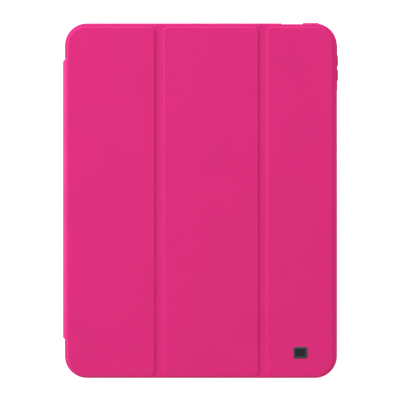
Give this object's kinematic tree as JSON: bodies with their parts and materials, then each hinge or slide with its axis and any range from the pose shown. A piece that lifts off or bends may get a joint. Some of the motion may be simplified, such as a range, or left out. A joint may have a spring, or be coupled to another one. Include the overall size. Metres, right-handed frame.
{
  "type": "tablet case",
  "caption": "Closed folding folio case with a tray shell, spine strip and stiffened leather cover that rolls back into a stand or peeks open.",
  "frame": {"origin": "middle of the back of the shell, on the flat face it rests on", "axes": "+Z out of the cover's leather face, +Y towards the tablet's top edge with the power button, +X towards the cover's free edge; the spine is at -X"},
  "size_m": [0.222, 0.2863, 0.0121],
  "materials": {
    "leather": "matt artificial leather, hot pink",
    "shell": "moulded soft plastic, satin, hot pink",
    "lining": "brushed microfibre, pink",
    "board": "pressed fibre board",
    "magnet": "nickel plated",
    "badge": "dark gunmetal, satin"
  },
  "bodies": {
    "shell": {"back_shell": "shell", "back_flap_skin": "leather"},
    "volume_up": {"volume_up_button": "shell"},
    "volume_down": {"volume_down_button": "shell"},
    "power": {"power_button": "shell"},
    "spine": {"spine_skin": "leather", "spine_board": "board", "spine_lining": "lining"},
    "panel_1": {"panel_1_skin": "leather", "panel_1_board": "board", "panel_1_lining": "lining", "stand_magnets": "magnet"},
    "fold_1": {"fold_1_skin": "leather", "fold_1_lining": "lining"},
    "panel_2": {"panel_2_skin": "leather", "panel_2_board": "board", "panel_2_lining": "lining"},
    "fold_2": {"fold_2_skin": "leather", "fold_2_lining": "lining"},
    "panel_3": {"panel_3_skin": "leather", "panel_3_board": "board", "panel_3_lining": "lining", "closure_magnets": "magnet", "wake_magnet": "magnet", "badge": "badge"}
  },
  "joints": [
    {"name": "spine_hinge", "type": "hinge", "parent": "shell", "child": "spine", "pos_m": [-0.11145, 0, -0.00015], "axis": [0, -1, 0], "range_deg": [0, 270]},
    {"name": "cover_hinge", "type": "hinge", "parent": "spine", "child": "panel_1", "pos_m": [-0.10984, 0, 0.01034], "axis": [0, -1, 0], "range_deg": [0, 90]},
    {"name": "stand_fold_1", "type": "hinge", "parent": "panel_1", "child": "fold_1", "pos_m": [-0.0353, 0, 0.00935], "axis": [0, 1, 0], "range_deg": [0, 133]},
    {"name": "peek_fold_1", "type": "hinge", "parent": "fold_1", "child": "panel_2", "pos_m": [-0.0319, 0, 0.01195], "axis": [0, 1, 0], "range_deg": [-155, 0]},
    {"name": "stand_fold_2", "type": "hinge", "parent": "panel_2", "child": "fold_2", "pos_m": [0.04815, 0, 0.00935], "axis": [0, 1, 0], "range_deg": [0, 130]},
    {"name": "peek_fold_2", "type": "hinge", "parent": "fold_2", "child": "panel_3", "pos_m": [0.05155, 0, 0.01195], "axis": [0, 1, 0], "range_deg": [-175, 0]},
    {"name": "volume_up_press", "type": "slide", "parent": "shell", "child": "volume_up", "axis": [-1, 0, 0], "range_m": [0, 0.0004], "stiffness_N_per_m": 300},
    {"name": "volume_down_press", "type": "slide", "parent": "shell", "child": "volume_down", "axis": [-1, 0, 0], "range_m": [0, 0.0004], "stiffness_N_per_m": 300},
    {"name": "power_press", "type": "slide", "parent": "shell", "child": "power", "axis": [0, -1, 0], "range_m": [0, 0.0004], "stiffness_N_per_m": 300}
  ],
  "couplings": [
    {"joint": "stand_fold_1", "follows": "spine_hinge", "ratio": 0.49259},
    {"joint": "stand_fold_2", "follows": "spine_hinge", "ratio": 0.48148}
  ]
}
